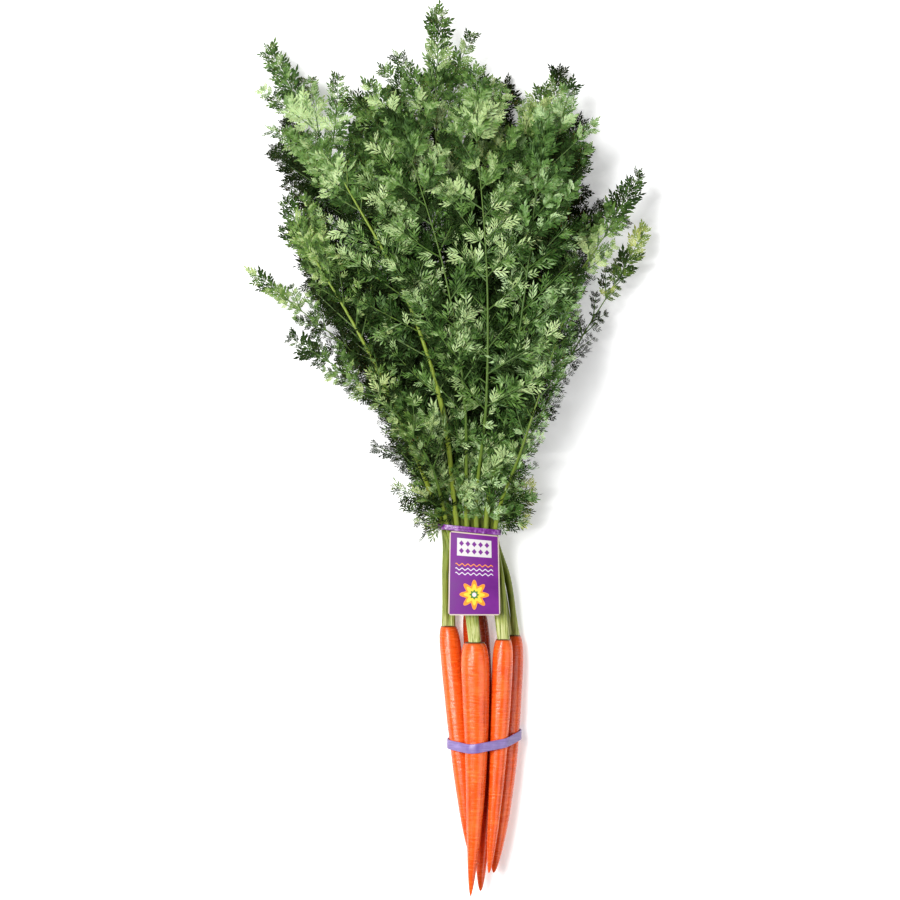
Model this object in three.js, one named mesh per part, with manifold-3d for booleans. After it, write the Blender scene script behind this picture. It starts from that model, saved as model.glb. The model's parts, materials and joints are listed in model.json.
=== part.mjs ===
// A bunch of five carrots with their leafy tops, lying on a table: three roots below and two above,
// a rubber band round the roots, a twist tie round the leaf stalks and a card tag hung from the tie.
// Millimetres, +Z up. +Y runs from the root tips to the leaf tips. The origin is the spot on the
// table where the middle lower carrot rests, under its shoulder.

import * as THREE from "three";
import { mergeVertices } from "three/addons/utils/BufferGeometryUtils.js";
import Module from "manifold-3d";

const wasm = await Module();
wasm.setup();

// Clearance kept between pieces that touch or pass each other.
const GAP = 0.4;

// Roots, from left to right: place of the crown's centre, place of the tip, largest radius, how it
// tapers (a high power stays thick for longer) and how far it bows to the right halfway.
const ROOTS = {
  lower: [
    {
      name: "left", crown: [-19.6, 13, 8], tip: [-2.9, -160, 20], radius: 8.3,
      taper: { power: 3, bluntness: 0.6 }, bow: 0,
    },
    {
      name: "middle", crown: [0, 27, 8.85], tip: [4.6, -187, 12.8], radius: 10,
      taper: { power: 1.9, bluntness: 0.5 }, bow: 3.4,
    },
    {
      name: "right", crown: [28.9, 6, 7.7], tip: [14.5, -173, 14.5], radius: 8.7,
      taper: { power: 3.6, bluntness: 0.55 }, bow: 2.6,
    },
  ],
  upper: [
    {
      name: "left", crown: [0, 2, 30.6], tip: [-3, -189, 27], radius: 10.9,
      taper: { power: 1.3, bluntness: 0.6 }, bow: 2.5,
    },
    {
      name: "right", crown: [21.6, 4, 26.4], tip: [10.8, -172, 24.5], radius: 7.9,
      taper: { power: 1.5, bluntness: 0.5 }, bow: 1.5,
    },
  ],
};
const ROOT_SIDES = 12;
const ROOT_STATIONS = [0, 0.008, 0.03, 0.065, 0.13, 0.26, 0.4, 0.52, 0.64, 0.76, 0.87, 0.955, 1];
const SHOULDER = { share: 0.13, power: 2.6, bluntness: 0.6 };
const CROWN_SHARE = 0.65;

// Leaf stalks: in two rows on each crown, then in four rows of six where the tie gathers them.
const ROWS = 4;
const COLUMNS = 6;
const CROWN_PITCH = 4;
const STALK_RADIUS = { crown: 1.7, tie: 1.8, tip: 0.9 };
const STALK_SIDES = 5;
const STALK_STATIONS = [0, 0.2, 0.4, 0.5, 0.6, 0.7, 0.8, 0.9, 1];
const STALK_BOW = 0.35;
const TIE_CENTRE = new THREE.Vector3(-3.9, 88, 20);
const TIE_COLUMN_PITCH = 7.2;
const TIE_ROW_PITCH = 6.4;
const TIE_ROUNDNESS = 0.2;
const TIE_STAGGER = 1.7;

// Fronds, row by row from the table up and from left to right: how far the tip lies off the bunch's
// axis, in degrees, and how far from the middle of the tie. Below, for each row: the height that its
// fronds reach and how far they bow to the right on the way.
const FRONDS = [
  [[-30, 265], [-24, 330], [-5, 340], [5, 330], [13.5, 322], [21, 268]],
  [[-38.5, 256], [-21.5, 390], [-9, 335], [3, 332], [11, 348], [31, 256]],
  [[-30, 284], [-15.5, 335], [-4.5, 386], [8, 338], [12.5, 338], [25, 288]],
  [[-41, 200], [-20, 325], [-9, 332], [1, 345], [11, 315], [24, 212]],
];
const ROW_HEIGHTS = [10, 30, 50, 70];
const ROW_BOWS = [-5, 7, -8, 9];
const HEIGHT_SPREAD = 4;
const STALK_SHARE = 0.84;
const FAN_CURL = 0.45;
const RISE_SHARE = 0.5;
const TIP_DROOP = 0.16;

// Pinnae: the lobed leaflets in pairs along each frond, by their share of the stalk beyond the tie.
const PINNA_PAIRS = [
  { share: 0.88, length: 50, rows: [0, 1, 2, 3] },
  { share: 0.71, length: 60, rows: [0, 1, 2, 3] },
  { share: 0.54, length: 64, rows: [2, 3] },
  { share: 0.34, length: 62, rows: [2, 3] },
  { share: 0.2, length: 54, rows: [0] },
];
const OUTER_PINNA = { share: 0.07, length: 40 };
const END_PINNA_LENGTH = 60;
const END_SINK = 0.03;
const FULL_REACH = 340;
const PINNA_WIDTH_SHARE = 0.7;
const PINNA_THICKNESS = 0.8;
const PINNA_ARCH = 0.1;
const PINNA_SWEEPS = [50, 42, 34, 26, 18, 10];
const FOLDED_SWEEPS = [28, 20, 12];
const OUTER_SWEEPS = [70, 60, 50, 40];
const PINNA_SHRINKS = [1, 0.8, 0.64, 0.5];
const PINNA_TILT = 9;
const PINNA_ROLL = 18;
// Half outline of a pinna: shares of its width and length, from the stalk to the last notch.
const LOBES = [[0.5, 0.44], [0.17, 0.42], [0.37, 0.74], [0.11, 0.68]];

// Rubber band round the roots: it leans towards the tips above, and its right side is the higher.
const BAND = { y: -74.4, width: 7, thickness: 1, tilt: 9, middleHeight: 18, skew: 0.11 };

// Twist tie round the stalks, and the twisted ends that close it.
const TIE_BAND = { y: 86, width: 4, thickness: 0.8, clearance: 2, skew: -0.1 };
const TWIST = { length: 8, width: 3, thickness: 1.6, turns: 0.75, steps: 4, lift: 20 };
const CIRCLE_POINTS = 16;

// Card tag: hangs from the tie over the stalks, and widens a little to its free end.
const TAG = { width: 39, length: 61.5, thickness: 0.7, centreX: -0.3, topShare: 0.94 };
const TAG_SAG = { top: 3.4, low: 1.6 };
const TAG_HEIGHT = { top: 33.6, low: 37.5 };
const TAG_CELLS = { across: 8, along: 3 };

const DEGREE = Math.PI / 180;
const mix = THREE.MathUtils.lerp;
const smooth = (share) => THREE.MathUtils.smoothstep(share, 0, 1);

// Seeded draws between -1 and 1, the same on every run.
let seed = 20117;
function draw() {
  seed = (seed * 48271) % 2147483647;
  return (2 * seed) / 2147483647 - 1;
}

function material(colour, roughness) {
  return new THREE.MeshStandardMaterial({ color: colour, roughness, metalness: 0 });
}
const FINISHES = {
  root: material("#f0742c", 0.45),
  leaf: material("#4f7a3c", 0.6),
  band: material("#8673c4", 0.5),
  tie: material("#74208c", 0.35),
  tag: material("#7d2390", 0.4),
};

// Booleans: geometry to solid and back.
function solidOf(geometry) {
  const bare = geometry.clone();
  bare.deleteAttribute("normal");
  bare.deleteAttribute("uv");
  const merged = mergeVertices(bare, 1e-4);
  return new wasm.Manifold(
    new wasm.Mesh({
      numProp: 3,
      vertProperties: merged.attributes.position.array,
      triVerts: new Uint32Array(merged.index.array),
    }),
  );
}

function geometryOf(solid) {
  const { vertProperties, triVerts } = solid.getMesh();
  const geometry = new THREE.BufferGeometry();
  geometry.setAttribute("position", new THREE.BufferAttribute(vertProperties, 3));
  geometry.setIndex(new THREE.BufferAttribute(triVerts, 1));
  geometry.computeVertexNormals();
  return geometry;
}

// Joins solids into one body, with any pocket they seal between them filled.
function fuse(solids) {
  const shells = wasm.Manifold.union(solids).decompose();
  return shells.reduce((most, shell) => (shell.volume() > most.volume() ? shell : most));
}

// Moves every vertex of a geometry to where place(vertex) puts it.
function reshape(geometry, place) {
  const position = geometry.attributes.position;
  const vertex = new THREE.Vector3();
  for (let i = 0; i < position.count; i++) {
    place(vertex.fromBufferAttribute(position, i));
    position.setXYZ(i, vertex.x, vertex.y, vertex.z);
  }
  return geometry;
}

// Roots.

// Share of the largest radius at a share of the length, from the crown at 0 to the tip at 1.
function rootProfile({ taper }, share) {
  const narrowing = (1 - share ** taper.power) ** taper.bluntness;
  const slope = 1 - Math.min(share / SHOULDER.share, 1);
  return narrowing * mix(CROWN_SHARE, 1, (1 - slope ** SHOULDER.power) ** SHOULDER.bluntness);
}

function rootAxis(root, share) {
  const axis = new THREE.Vector3(...root.crown).lerp(new THREE.Vector3(...root.tip), share);
  axis.x += root.bow * Math.sin(Math.PI * share);
  return axis;
}

// A turned profile laid along the root's axis, and flat where it would sink into the table.
function rootGeometry(root) {
  const profile = ROOT_STATIONS.map(
    (share) => new THREE.Vector2(root.radius * rootProfile(root, share), -share),
  );
  profile.reverse().push(new THREE.Vector2(0, 0));
  const halfSide = Math.PI / ROOT_SIDES;
  return reshape(new THREE.LatheGeometry(profile, ROOT_SIDES, halfSide), (vertex) => {
    const axis = rootAxis(root, -vertex.y);
    vertex.set(axis.x + vertex.x, axis.y, Math.max(axis.z + vertex.z, 0));
  });
}

// Fronds: one leaf stalk each, from a crown through the tie to the leaf's tip.

function tiePoint(row, column) {
  const across = (2 * column) / (COLUMNS - 1) - 1;
  const up = (row - (ROWS - 1) / 2) * TIE_ROW_PITCH * (1 - TIE_ROUNDNESS * across ** 2);
  const stagger = row % 2 ? TIE_STAGGER : -TIE_STAGGER;
  const side = (column - (COLUMNS - 1) / 2) * TIE_COLUMN_PITCH + stagger;
  return new THREE.Vector3(side, 0, up).add(TIE_CENTRE);
}

function crownPoint(row, column) {
  const tier = row < ROWS / 2 ? ROOTS.lower : ROOTS.upper;
  const across = COLUMNS / tier.length;
  const [x, y, z] = tier[Math.floor(column / across)].crown;
  const side = ((column % across) - (across - 1) / 2) * CROWN_PITCH;
  const up = ((row % 2) - 0.5) * CROWN_PITCH;
  return new THREE.Vector3(x + side, y + GAP, z + up);
}

const HEIGHTS = FRONDS.map((row, i) => row.map(() => ROW_HEIGHTS[i] + HEIGHT_SPREAD * draw()));

// Where a frond's stalk has got to at a share of its way beyond the tie.
function fanPoint(row, column, share) {
  const [lean, reach] = FRONDS[row][column];
  const from = tiePoint(row, column);
  const angle = lean * DEGREE * (1 - FAN_CURL * (1 - share));
  const run = reach * STALK_SHARE * share;
  const bow = ROW_BOWS[row] * Math.sin(Math.PI * share);
  const rise = (HEIGHTS[row][column] - from.z) * smooth(Math.min(share / RISE_SHARE, 1));
  const z = (from.z + rise) * (1 - TIP_DROOP * share ** 3);
  return new THREE.Vector3(
    mix(from.x, TIE_CENTRE.x, share) + run * Math.sin(angle) + bow,
    from.y + run * Math.cos(angle),
    z,
  );
}

function frondCurve(row, column) {
  const foot = crownPoint(row, column);
  const tie = tiePoint(row, column);
  const half = foot.clone().lerp(tie, 0.5);
  half.x = mix(foot.x, tie.x, STALK_BOW);
  const fan = [1 / 3, 2 / 3, 1].map((share) => fanPoint(row, column, share));
  return new THREE.CatmullRomCurve3([foot, half, tie, ...fan]);
}

// The tie is the curve's third point of six, so it lies two fifths of the way along.
const TIE_AT = 0.4;
const alongCurve = (share) => mix(TIE_AT, 1, share);

// Point, direction, sideways and upward axes of a stalk.
function frameAt(curve, at) {
  const point = curve.getPoint(at);
  const along = curve.getTangent(at);
  const side = along.clone().cross(new THREE.Vector3(0, 0, 1)).normalize();
  const up = side.clone().cross(along);
  return { point, along, side, up };
}

function stalkRadius(at) {
  return at < TIE_AT
    ? mix(STALK_RADIUS.crown, STALK_RADIUS.tie, at / TIE_AT)
    : mix(STALK_RADIUS.tie, STALK_RADIUS.tip, (at - TIE_AT) / (1 - TIE_AT));
}

// A bent tube whose foot is cut level with the crown it stands on.
function stalkGeometry(curve) {
  const steps = STALK_STATIONS.length - 1;
  return reshape(new THREE.CylinderGeometry(1, 1, 1, STALK_SIDES, steps), (vertex) => {
    const at = STALK_STATIONS[Math.round((vertex.y + 0.5) * steps)];
    const { point, side, up } = frameAt(curve, at);
    const { x, z } = vertex.clone().multiplyScalar(stalkRadius(at));
    vertex.copy(point).addScaledVector(side, x).addScaledVector(up, z);
    if (at === 0) vertex.y = point.y;
  });
}

// A thin lobed blade along +Y, pointed at both ends and arched down to its tip.
function pinnaBlade(length, margin) {
  const width = length * PINNA_WIDTH_SHARE + 2 * margin;
  const right = LOBES.map(([across, along]) => [across * width, along * length]);
  const left = right.map(([x, y]) => [-x, y]).reverse();
  const outline = [[0, -margin], ...right, [0, length + margin], ...left];
  const shape = new THREE.Shape(outline.map(([x, y]) => new THREE.Vector2(x, y)));
  const depth = PINNA_THICKNESS + 2 * margin;
  const blade = new THREE.ExtrudeGeometry(shape, { depth, bevelEnabled: false });
  return reshape(blade, (vertex) => {
    vertex.z -= depth / 2 + (PINNA_ARCH * vertex.y ** 2) / length;
  });
}

// Stands a blade on a stalk: sweep turns it off the stalk to one side, tilt lifts it, roll turns it.
function pinnaSolid(curve, pinna, sweep, shrink, margin) {
  const { point, along, side, up } = frameAt(curve, alongCurve(pinna.share));
  const outward = side.multiplyScalar(pinna.side * Math.cos(pinna.tilt));
  outward.addScaledVector(up, Math.sin(pinna.tilt));
  const ahead = along.multiplyScalar(Math.cos(sweep)).addScaledVector(outward, Math.sin(sweep));
  const across = ahead.clone().cross(up).normalize();
  const place = new THREE.Matrix4().makeBasis(across, ahead, across.clone().cross(ahead));
  place.multiply(new THREE.Matrix4().makeRotationY(pinna.roll)).setPosition(point);
  return solidOf(pinnaBlade(pinna.length * shrink, margin).applyMatrix4(place));
}

// The pinnae that a frond should have, the furthest first.
function pinnaeOf(row, column) {
  const size = FRONDS[row][column][1] / FULL_REACH;
  const outer = { 0: -1, [COLUMNS - 1]: 1 }[column];
  const make = (share, length, side, sweeps) => ({
    share,
    side,
    sweeps,
    length: length * size,
    tilt: PINNA_TILT * draw() * DEGREE,
    roll: PINNA_ROLL * draw() * DEGREE,
  });
  const wanted = [make(1 - END_SINK, END_PINNA_LENGTH, 1, [0])];
  for (const { share, length } of PINNA_PAIRS.filter(({ rows }) => rows.includes(row))) {
    for (const side of [-1, 1]) {
      wanted.push(make(share, length, side, side === outer ? FOLDED_SWEEPS : PINNA_SWEEPS));
    }
  }
  if (outer) wanted.push(make(OUTER_PINNA.share, OUTER_PINNA.length, outer, OUTER_SWEEPS));
  return wanted;
}

const bounds = (solid) => {
  const { min, max } = solid.boundingBox();
  return new THREE.Box3(new THREE.Vector3(...min), new THREE.Vector3(...max));
};
const crosses = (guard, box, piece) =>
  box.intersectsBox(piece.box) && !guard.intersect(piece.solid).isEmpty();

// A pinna folds in towards its stalk, then shrinks, until it clears the table and every other frond.
function clearPinna(frond, pinna, fronds) {
  for (const shrink of PINNA_SHRINKS) {
    for (const sweep of pinna.sweeps) {
      const guard = pinnaSolid(frond.curve, pinna, sweep * DEGREE, shrink, GAP);
      const box = bounds(guard);
      const others = fronds.filter((other) => other !== frond);
      const free = !others.some((other) => other.pieces.some((piece) => crosses(guard, box, piece)));
      if (free && box.min.z > 0) {
        return pinnaSolid(frond.curve, pinna, sweep * DEGREE, shrink, 0);
      }
    }
  }
  return null;
}

function growFronds() {
  const fronds = [];
  for (let row = 0; row < ROWS; row++) {
    for (let column = 0; column < COLUMNS; column++) {
      const curve = frondCurve(row, column);
      const solid = solidOf(stalkGeometry(curve));
      const pieces = [{ solid, box: bounds(solid) }];
      fronds.push({ row, column, curve, pieces, wanted: pinnaeOf(row, column) });
    }
  }
  const most = Math.max(...fronds.map((frond) => frond.wanted.length));
  for (let turn = 0; turn < most; turn++) {
    for (const frond of fronds.filter(({ wanted }) => turn < wanted.length)) {
      const solid = clearPinna(frond, frond.wanted[turn], fronds);
      if (solid) frond.pieces.push({ solid, box: bounds(solid) });
    }
  }
  return fronds;
}

// Bands: the loop that a stretched band makes round some circles, as a flat ring.

function hullLoop(circles, clearance) {
  const points = circles.flatMap(({ x, z, radius }) =>
    Array.from({ length: CIRCLE_POINTS }, (_, i) => {
      const angle = (i / CIRCLE_POINTS) * 2 * Math.PI;
      const reach = radius + clearance;
      return new THREE.Vector2(x + reach * Math.cos(angle), z + reach * Math.sin(angle));
    }),
  );
  points.sort((a, b) => a.x - b.x || a.y - b.y);
  const half = (ordered) => {
    const chain = [];
    for (const point of ordered) {
      while (chain.length > 1) {
        const [a, b] = chain.slice(-2);
        if (b.clone().sub(a).cross(point.clone().sub(b)) > 1e-6) break;
        chain.pop();
      }
      chain.push(point);
    }
    return chain.slice(0, -1);
  };
  return [...half(points), ...half([...points].reverse())];
}

// A ring that lies across the bunch, from y - width / 2 to y + width / 2.
function ringGeometry(circles, { y, width, thickness, clearance }) {
  const ring = new THREE.Shape(hullLoop(circles, clearance + thickness));
  ring.holes.push(new THREE.Path(hullLoop(circles, clearance)));
  const geometry = new THREE.ExtrudeGeometry(ring, { depth: width, bevelEnabled: false });
  return geometry.rotateX(Math.PI / 2).translate(0, y + width / 2, 0);
}

// The rubber band leans, so its top lies nearer the root tips than its underside does.
function bandGeometry() {
  const slope = Math.tan(BAND.tilt * DEGREE);
  const shift = ({ x, z }) => slope * (BAND.middleHeight - z) + BAND.skew * (x - TIE_CENTRE.x);
  const circles = Object.values(ROOTS).flat().map((root) => {
    const shareAt = (y) => (root.crown[1] - y) / (root.crown[1] - root.tip[1]);
    const under = rootAxis(root, shareAt(BAND.y));
    under.z -= root.radius;
    const share = shareAt(BAND.y + BAND.width / 2 + shift(under));
    const { x, z } = rootAxis(root, share);
    return { x, z, radius: root.radius * rootProfile(root, share) };
  });
  const geometry = ringGeometry(circles, { ...BAND, clearance: GAP });
  return reshape(geometry, (vertex) => {
    vertex.y += shift(vertex);
  });
}

function tieCircles() {
  const circles = [];
  for (let row = 0; row < ROWS; row++) {
    for (let column = 0; column < COLUMNS; column++) {
      const { x, z } = tiePoint(row, column);
      circles.push({ x, z, radius: STALK_RADIUS.tie });
    }
  }
  return circles;
}

// The tie crosses the bunch askew, lower at the right.
const tieY = (x) => TIE_BAND.y + TIE_BAND.skew * (x - TIE_CENTRE.x);

// The tie's ring with its two ends twisted together at the left side of the bunch.
function tieGeometry() {
  const ring = reshape(ringGeometry(tieCircles(), TIE_BAND), (vertex) => {
    vertex.y += tieY(vertex.x) - TIE_BAND.y;
  });
  const { length, width, thickness, turns, steps } = TWIST;
  const twist = new THREE.BoxGeometry(length, width, thickness, steps, 1, 1);
  const turning = new THREE.Vector3(1, 0, 0);
  reshape(twist, (vertex) => {
    vertex.applyAxisAngle(turning, (vertex.x / length) * turns * 2 * Math.PI);
  });
  ring.computeBoundingBox();
  const left = ring.boundingBox.min.x;
  twist.rotateY(TWIST.lift * DEGREE).translate(left - length * 0.4, tieY(left), TIE_CENTRE.z);
  return geometryOf(fuse([solidOf(ring), solidOf(twist)]));
}

// The tag's card is bowed over the stalks, more at the tie than at its free end.
function tagGeometry() {
  const { width, length, thickness, topShare, centreX } = TAG;
  const card = new THREE.BoxGeometry(
    width, length, thickness, TAG_CELLS.across, TAG_CELLS.along, 1,
  );
  const drop = TIE_BAND.width / 2 + GAP;
  return reshape(card, (vertex) => {
    const down = 0.5 - vertex.y / length;
    const bow = mix(TAG_SAG.top, TAG_SAG.low, down) * ((2 * vertex.x) / width) ** 2;
    vertex.x = centreX + vertex.x * mix(topShare, 1, down);
    vertex.z += mix(TAG_HEIGHT.top, TAG_HEIGHT.low, Math.sqrt(down)) - bow;
    vertex.y = mix(tieY(vertex.x), TIE_BAND.y - length, down) - drop;
  });
}

// The bunch.

const bunch = new THREE.Group();

function place(name, geometry, finish) {
  const mesh = new THREE.Mesh(geometry, finish.clone());
  mesh.name = name;
  bunch.add(mesh);
}

for (const [tier, roots] of Object.entries(ROOTS)) {
  for (const root of roots) {
    place(`root_${tier}_${root.name}`, rootGeometry(root), FINISHES.root);
  }
}
for (const { row, column, pieces } of growFronds()) {
  const frond = fuse(pieces.map(({ solid }) => solid));
  place(`frond_${row + 1}_${column + 1}`, geometryOf(frond), FINISHES.leaf);
}
place("rubber_band", bandGeometry(), FINISHES.band);
place("twist_tie", tieGeometry(), FINISHES.tie);
place("card_tag", tagGeometry(), FINISHES.tag);

export default bunch;
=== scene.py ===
# A bunch of five carrots with their leafy tops, lying on a pale floor and seen from straight above.
# The frame is in metres. The sizes named here are in millimetres, unless their comment says otherwise,
# and are turned into metres by MM.

import json
import math
import random

import bpy
import numpy as np
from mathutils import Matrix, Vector

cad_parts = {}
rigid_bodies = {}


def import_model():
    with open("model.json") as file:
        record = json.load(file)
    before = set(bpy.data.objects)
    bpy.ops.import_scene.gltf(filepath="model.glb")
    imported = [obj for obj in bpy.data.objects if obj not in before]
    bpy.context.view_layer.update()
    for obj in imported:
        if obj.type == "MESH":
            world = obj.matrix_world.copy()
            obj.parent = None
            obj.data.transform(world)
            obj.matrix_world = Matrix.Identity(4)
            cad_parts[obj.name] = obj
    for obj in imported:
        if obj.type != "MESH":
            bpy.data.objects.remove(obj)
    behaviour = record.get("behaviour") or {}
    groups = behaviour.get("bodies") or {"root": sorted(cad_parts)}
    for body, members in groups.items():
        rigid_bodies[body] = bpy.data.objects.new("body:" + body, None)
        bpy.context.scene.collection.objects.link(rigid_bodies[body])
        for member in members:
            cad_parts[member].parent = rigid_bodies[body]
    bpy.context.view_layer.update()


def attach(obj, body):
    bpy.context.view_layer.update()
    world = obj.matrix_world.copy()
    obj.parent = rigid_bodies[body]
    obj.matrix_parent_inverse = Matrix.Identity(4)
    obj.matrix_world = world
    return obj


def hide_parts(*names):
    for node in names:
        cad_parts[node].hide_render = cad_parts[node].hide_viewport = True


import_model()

MM = 0.001
UP = np.array([0.0, 0.0, 1.0])

# Roots: crown's centre, tip, largest radius, taper (power and bluntness) and bow to the right.
LOWER_ROOTS = {
    "root_lower_left": ((-19.6, 13, 8), (-2.9, -160, 20), 8.3, (3.0, 0.6), 0.0),
    "root_lower_middle": ((0, 27, 8.85), (4.6, -187, 12.8), 10.0, (1.9, 0.5), 3.4),
    "root_lower_right": ((28.9, 6, 7.7), (14.5, -173, 14.5), 8.7, (3.6, 0.55), 2.6),
}
UPPER_ROOTS = {
    "root_upper_left": ((0, 2, 30.6), (-3, -189, 27), 10.9, (1.3, 0.6), 2.5),
    "root_upper_right": ((21.6, 4, 26.4), (10.8, -172, 24.5), 7.9, (1.5, 0.5), 1.5),
}
ROOTS = {**LOWER_ROOTS, **UPPER_ROOTS}
# Shoulder: its share of a root's length and its curve, and the crown's share of the radius and dished cap.
SHOULDER_SHARE = 0.13
SHOULDER_CURVE = (2.6, 0.6)
CROWN_SHARE = 0.62
CROWN_CAP = 0.05
CROWN_DIP = 1.0
# Mesh of a root, and the relief of its skin.
ROOT_SIDES = 96
ROOT_RINGS = 420
ROOT_SEED_STEP = 7.3
MERGE_DISTANCE = 0.01
CREASE_DEPTH = 0.11
LUMP_HEIGHT = 0.35
# Noise of the creases and the lumps: its width round a root and its steps from crown to tip.
CREASE_NOISE = (0.9, 95.0)
LUMP_NOISE = (0.8, 5.0)
CREASE_SPAN = (0.55, 0.72)
# Painted shade: roots darkened to a deeper red than the others near the crown, where they lie in shade
# behind them.
PAINTED_ROOT_SHADE = {"root_lower_middle": 0.85, "root_lower_right": 0.3}

# Leaf stalks: two rows on each crown, in clumps, and four rows of six at the tie.
ROWS = 4
COLUMNS = 6
GAP = 0.4
CLUMP_WIDTHS = (4.8, 3.6)
CLUMP_HEIGHT = 3.2
STALK_BOW = 0.35
TIE_CENTRE = np.array([-3.9, 88.0, 20.0])
TIE_COLUMN_PITCH = 7.2
TIE_ROW_PITCH = 6.4
TIE_ROUNDNESS = 0.2
TIE_STAGGER = 1.7
# Along a stalk: the tie's share of its points, its sunk foot, and its radius by share.
TIE_AT = 0.4
STALK_SINK = 3.0
STALK_WIDTHS = ([0, 0.03, 0.08, 0.2, 0.42, 0.5, 0.7, 1], [2.9, 2.6, 2.2, 2.0, 1.9, 1.3, 0.8, 0.35])
STALK_POINTS = 60
STALK_RISE = 0.9
STEM_SIDES = 9
# Stalks beyond the tie: how dark each may be and from where, and the pale ones with their greater girth.
STALK_TINTS = (0.55, 0.7, 0.85, 1.0)
TINT_FROM = (0.34, 0.52)
PALE_STALKS = ((3, 1), (2, 0))
PALE_GIRTH = 1.8
PALE_FROM = (0.4, 0.6)

# Fronds, row by row from the floor up: lean of the tip in degrees and its reach from the tie.
FRONDS = [
    [(-30, 265), (-24, 330), (-5, 340), (5, 330), (13.5, 322), (21, 268)],
    [(-38.5, 256), (-21.5, 390), (-9, 335), (3, 332), (11, 348), (31, 256)],
    [(-30, 284), (-15.5, 335), (-4.5, 386), (8, 338), (12.5, 338), (25, 288)],
    [(-41, 200), (-20, 325), (-9, 332), (1, 345), (11, 315), (24, 212)],
]
ROW_HEIGHTS = [10, 30, 50, 70]
ROW_BOWS = [-5, 7, -8, 9]
HEIGHT_SPREAD = 4
HEIGHT_SEED = 20117
SEED_FACTOR = 48271
SEED_RANGE = 2147483647
# Stalk's share of a frond's reach, how late it turns outward, how soon it rises and its droop at the tip.
STALK_SHARE = 0.84
FAN_CURL = 0.45
RISE_SHARE = 0.5
TIP_DROOP = 0.16
# Reach of a frond whose side branches have the lengths given here.
FULL_REACH = 340

# Pinnae: the side branches of a frond, by their share of the stalk beyond the tie.
PINNA_COUNTS = [13, 13, 14, 11]
PINNA_SPAN = (0.12, 0.97)
PINNA_LENGTHS = ([0, 0.15, 0.35, 0.55, 0.75, 0.9, 1], [28, 38, 50, 54, 50, 42, 34])
PINNA_SWEEPS = ([0, 0.4, 0.8, 1], [54, 48, 40, 30])
OUTER_SWEEP_SHARE = 0.6
OUTER_LENGTH_SHARE = 0.75
END_PINNA_LENGTH = 48
END_FULLNESS = 1.15
# Fronds with shorter or longer side branches than the others.
FROND_FULLNESS = {(1, 5): 0.5, (1, 0): 0.7, (2, 5): 0.8, (2, 2): 1.3}
# Small ones just beyond the tie, on the outer stalks and across the top row: place, length and sweep.
LOW_PINNAE = [(0.02, 18, 78), (0.055, 22, 62), (0.09, 26, 46)]
CROSSING_PINNAE = [(0.03, 18, 50), (0.06, 20, 40), (0.09, 20, 35)]
BARE_STALKS = ((3, 2), (3, 3))
LOW_TILTS = (8, 34)
LOW_FULLNESS = 1.5
# Up to this place leaves are toned as if they grew farther out, which spares them some of the painted shade
# below the canopy.
LOW_UNTIL = 0.1
LOW_OUTWARD = 0.78
# Points along a side branch, with the leaflets' size and the stem's radius by share.
PINNA_POINTS = 10
PINNA_SIZES = ([0, 0.1, 0.35, 1], [0, 0.9, 1.0, 0.62])
PINNA_WIDTHS = ([0, 1], [0.6, 0.2])
MEAN_PINNA_LENGTH = 48
# Draws for the side branches: place on the stalk, length, sweep and turn in degrees, curl and droop.
PLACE_DRAW = 0.025
LENGTH_DRAW = (0.8, 1.15)
SWEEP_DRAW = 10
TURN_DRAW = 40
CURL_DRAW = (-0.05, 0.25)
DROOP_DRAW = (-0.05, 0.22)
LAST_PLACE = 0.985
END_PLACE = 0.99
END_SWEEP_DRAW = 6
LOW_SWEEP_DRAW = 12
LOW_LENGTH_DRAW = (0.8, 1.1)
# Leaflets along a side branch, with the draws for their splay, lift and size.
LEAFY_SIZE = 0.3
LEAFLET_SPACING = 4.4
LEAFLET_LENGTH = 14.5
LEAFLET_SPLAY = math.radians(44)
LEAFLET_JITTER = 0.55
SPLAY_DRAW = 0.25
LIFT_DRAW = (-0.2, 0.35)
LEAFLET_DRAW = (0.7, 1.35)
# Leaflets of unit length: where each pair of lobes starts and its length, their width and spread.
SLIM_PAIRS = [(0.1, 0.46), (0.3, 0.48), (0.52, 0.38)]
BROAD_PAIRS = [(0.02, 0.32), (0.16, 0.38), (0.3, 0.4), (0.44, 0.34), (0.58, 0.26)]
LEAFLETS = [
    {"pairs": SLIM_PAIRS, "width": 0.085, "spread": 30},
    {"pairs": SLIM_PAIRS[:2], "width": 0.1, "spread": 26},
    {"pairs": SLIM_PAIRS, "width": 0.11, "spread": 36},
    {"pairs": SLIM_PAIRS, "width": 0.095, "spread": 42},
    {"pairs": BROAD_PAIRS, "width": 0.115, "spread": 42},
    {"pairs": BROAD_PAIRS, "width": 0.14, "spread": 40},
]
FIRST_BROAD = 4
BROAD_FROM = 0.8
LEAFLET_SEED = 900
# Midrib and end lobe: start, length, share of the width and widest place.
MIDRIB = (-0.05, 0.9, 0.7, 0.5)
END_LOBE = (0.6, 0.42, 1.0, 0.55)
# Lobes: widest place, fold along the rib, and the draws for tip, turn in degrees, size and start.
LOBE_WIDEST = 0.55
LOBE_FOLD = 0.3
LOBE_TIP_DRAW = (-0.22, 0.08)
LOBE_TURN_DRAW = 8
LOBE_SIZE_DRAW = (0.85, 1.15)
LOBE_START_DRAW = 0.03
# For each row: the tilt of its pinnae and the roll of its fronds, in degrees.
PINNA_TILTS = [(-2, 34), (-34, 34), (-38, 30), (-30, 24)]
FROND_ROLLS = [12, 38, 34, 12]
# How much of that tilt and roll is left along the frond.
PINNA_FLATNESS = ([0, 0.6, 1], [1, 0.9, 0.4])
# Heights that leaves are pressed up from and down from, and how much of the excess goes.
LEAF_FLOOR = 1.0
LEAF_CEILING = 71.0
FLOOR_PRESS = 0.98
CEILING_PRESS = 0.6

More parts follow.
